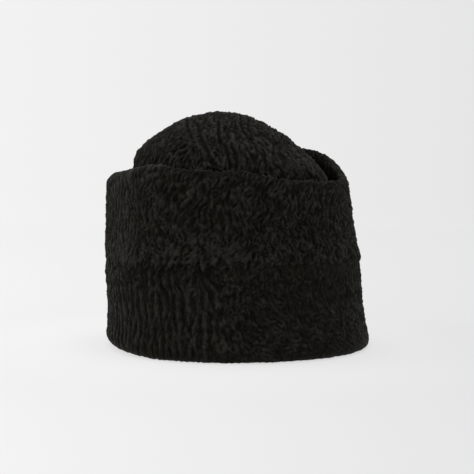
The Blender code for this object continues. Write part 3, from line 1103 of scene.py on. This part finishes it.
def fur_material(name, crest=CREST_HIGHLIGHT_COLOUR, flesh_side=False):
    """One piece's fur. With a flesh side, the bare skin shows where the mesh says so."""
    material = bpy.data.materials.new(name)
    material.use_nodes = True
    tree = material.node_tree
    shader = tree.nodes["Principled BSDF"]
    for socket, value in SHINE.items():
        shader.inputs[socket].default_value = value
    place = new_node(tree, "ShaderNodeTexCoord", (-900, -100)).outputs["Object"]
    curl = new_node(tree, "ShaderNodeAttribute", (-900, 150), attribute_name="curl").outputs["Fac"]
    inputs = {"Curl": curl, "Place": place, "Crease": CREASE_SHADE_COLOUR, "Crest": crest}
    hair = new_node(tree, "ShaderNodeGroup", (-600, 0), inputs, node_tree=hair_group).outputs
    inputs = {"Strength": 1.0, "Distance": HAIR_BUMP, "Height": hair["Height"]}
    bump = new_node(tree, "ShaderNodeBump", (-300, -300), inputs)
    colour = hair["Color"]
    if flesh_side:
        side = new_node(tree, "ShaderNodeAttribute", (-600, 350), attribute_name="flesh").outputs["Fac"]
        inputs = {"Factor": side, "A": colour, "B": FLESH_COLOUR}
        colour = new_node(tree, "ShaderNodeMix", (-300, 200), inputs, data_type="RGBA").outputs["Result"]
    tree.links.new(colour, shader.inputs["Base Color"])
    tree.links.new(hair["Roughness"], shader.inputs["Roughness"])
    tree.links.new(hair["Gloss"], shader.inputs["Coat Weight"])
    tree.links.new(bump.outputs["Normal"], shader.inputs["Normal"])
    return material


lower_fur.data.materials.append(fur_material("lower_band_fur"))
upper_fur.data.materials.append(fur_material("upper_band_fur"))
crown_fur.data.materials.append(fur_material("crown_fur", CROWN_CREST_HIGHLIGHT_COLOUR, flesh_side=True))
for piece, node_name in ((lower_fur, "lower_band"), (upper_fur, "upper_band"), (crown_fur, "crown")):
    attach(piece, "root")
    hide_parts(node_name)
print("pieces dressed:", [piece.name for piece in (lower_fur, upper_fur, crown_fur)])

# %% [markdown]
# ## Floor and light
#
# A pale floor runs out to a pale surround, and both are equally bright, so that no horizon shows. Both get a
# little darker from the left of the picture to its right. Three quarters of the floor's brightness is its
# own glow, which keeps the shadow under the cap as faint as the photograph shows it. The lamps brighten the
# floor round the cap, so its glow is weaker there, and right beside the cap it is stronger again, because
# the cap takes light away.

# %% Surround
PALE = 0.84
PALE_SLOPE = 0.06
PALE_REACH = (-0.25, 0.25)


def sideways_fade(tree, way, bright):
    """A brightness that falls from left to right of the camera's aim, from a direction's output."""
    aim_right = (cos(CAMERA_BEARING), sin(CAMERA_BEARING), 0.0)
    inputs = {0: way, 1: aim_right}
    across = new_node(tree, "ShaderNodeVectorMath", (-400, 0), inputs, operation="DOT_PRODUCT")
    ends = (bright + PALE_SLOPE, bright - PALE_SLOPE)
    return mapped(tree, (-200, 0), across.outputs["Value"], PALE_REACH, ends)


def make_surround():
    """A pale surround, a little darker towards the right of the picture."""
    world = bpy.data.worlds.new("surround")
    world.use_nodes = True
    tree = world.node_tree
    background = tree.nodes["Background"]
    background.inputs["Color"].default_value = (1.0, 1.0, 1.0, 1.0)
    way = new_node(tree, "ShaderNodeTexCoord", (-600, 0)).outputs["Generated"]
    tree.links.new(sideways_fade(tree, way, PALE), background.inputs["Strength"])
    bpy.context.scene.world = world


make_surround()
print("brightness of the surround:", round(PALE + PALE_SLOPE, 2), "to", round(PALE - PALE_SLOPE, 2))

# %% Floor
FLOOR_RADIUS = 40.0
FLOOR_SIDES = 64
FLOOR_GLOW = 0.75
DIM_REACH, DIM_GLOW = (0.2, 2.5), (-0.06, 0.0)
CLOSE_REACH, CLOSE_GLOW = (0.1, 0.24), (0.05, 0.0)


def floor_material():
    """A pale matt floor that glows a little."""
    material = bpy.data.materials.new("pale_floor")
    material.use_nodes = True
    tree = material.node_tree
    place = new_node(tree, "ShaderNodeTexCoord", (-1000, 0)).outputs["Object"]
    seen = vector_from(tree, (-800, 0), "SUBTRACT", place, camera.location)
    way = vector_from(tree, (-600, 0), "NORMALIZE", seen)
    length = new_node(tree, "ShaderNodeVectorMath", (-600, -300), {0: place}, operation="LENGTH")
    away = length.outputs["Value"]
    dim = mapped(tree, (-400, -300), away, DIM_REACH, DIM_GLOW)
    close = mapped(tree, (-400, -550), away, CLOSE_REACH, CLOSE_GLOW, interpolation_type="SMOOTHSTEP")
    near_cap = number_from(tree, (-250, -400), "ADD", dim, close)
    glow = number_from(tree, (-100, -200), "ADD", sideways_fade(tree, way, PALE * FLOOR_GLOW), near_cap)
    white = new_node(tree, "ShaderNodeCombineColor", (50, -200), {"Red": glow, "Green": glow, "Blue": glow})
    shader = tree.nodes["Principled BSDF"]
    shader.inputs["Base Color"].default_value = (1 - FLOOR_GLOW, 1 - FLOOR_GLOW, 1 - FLOOR_GLOW, 1.0)
    shader.inputs["Roughness"].default_value = 1.0
    shader.inputs["Specular IOR Level"].default_value = 0.0
    shader.inputs["Emission Strength"].default_value = 1.0
    tree.links.new(white.outputs["Color"], shader.inputs["Emission Color"])
    return material


def make_floor():
    """A wide round floor."""
    bm = bmesh.new()
    bmesh.ops.create_circle(bm, cap_ends=True, segments=FLOOR_SIDES, radius=FLOOR_RADIUS)
    mesh = bpy.data.meshes.new("floor")
    bm.to_mesh(mesh)
    bm.free()
    mesh.materials.append(floor_material())
    floor = bpy.data.objects.new("floor", mesh)
    bpy.context.scene.collection.objects.link(floor)
    return floor


make_floor()
print("the floor is", 2 * FLOOR_RADIUS, "m across, and its own glow is", FLOOR_GLOW, "of its brightness")

# %% [markdown]
# Three large soft lamps add to the surround's even light: one stands to the camera's left, one hangs over the
# cap, and a weak one stands far behind it, at the right of the picture, and catches the edge of the fur.

# %% Lamps
LAMPS = (
    ("soft_left", (-1.06, -1.06, 1.0), 0.8, 4.8),
    ("soft_top", (0.1, -0.1, 1.6), 0.8, 5.3),
    ("far_right", (0.1, 1.5, 1.0), 0.6, 1.0),
)


def make_lamp(name, place, size, power):
    """A square soft lamp that faces the cap's middle. Its size is in metres and its power in watts."""
    light = bpy.data.lights.new(name, "AREA")
    light.size = size
    light.energy = power
    lamp = bpy.data.objects.new(name, light)
    bpy.context.scene.collection.objects.link(lamp)
    lamp.location = place
    aim = Vector((0, 0, LOOK_AT_HEIGHT)) - lamp.location
    lamp.rotation_euler = aim.to_track_quat("-Z", "Y").to_euler()
    return lamp


lamps = [make_lamp(*lamp) for lamp in LAMPS]
bpy.context.scene.view_settings.view_transform = "Standard"
print("lamps:", [lamp.name for lamp in lamps])
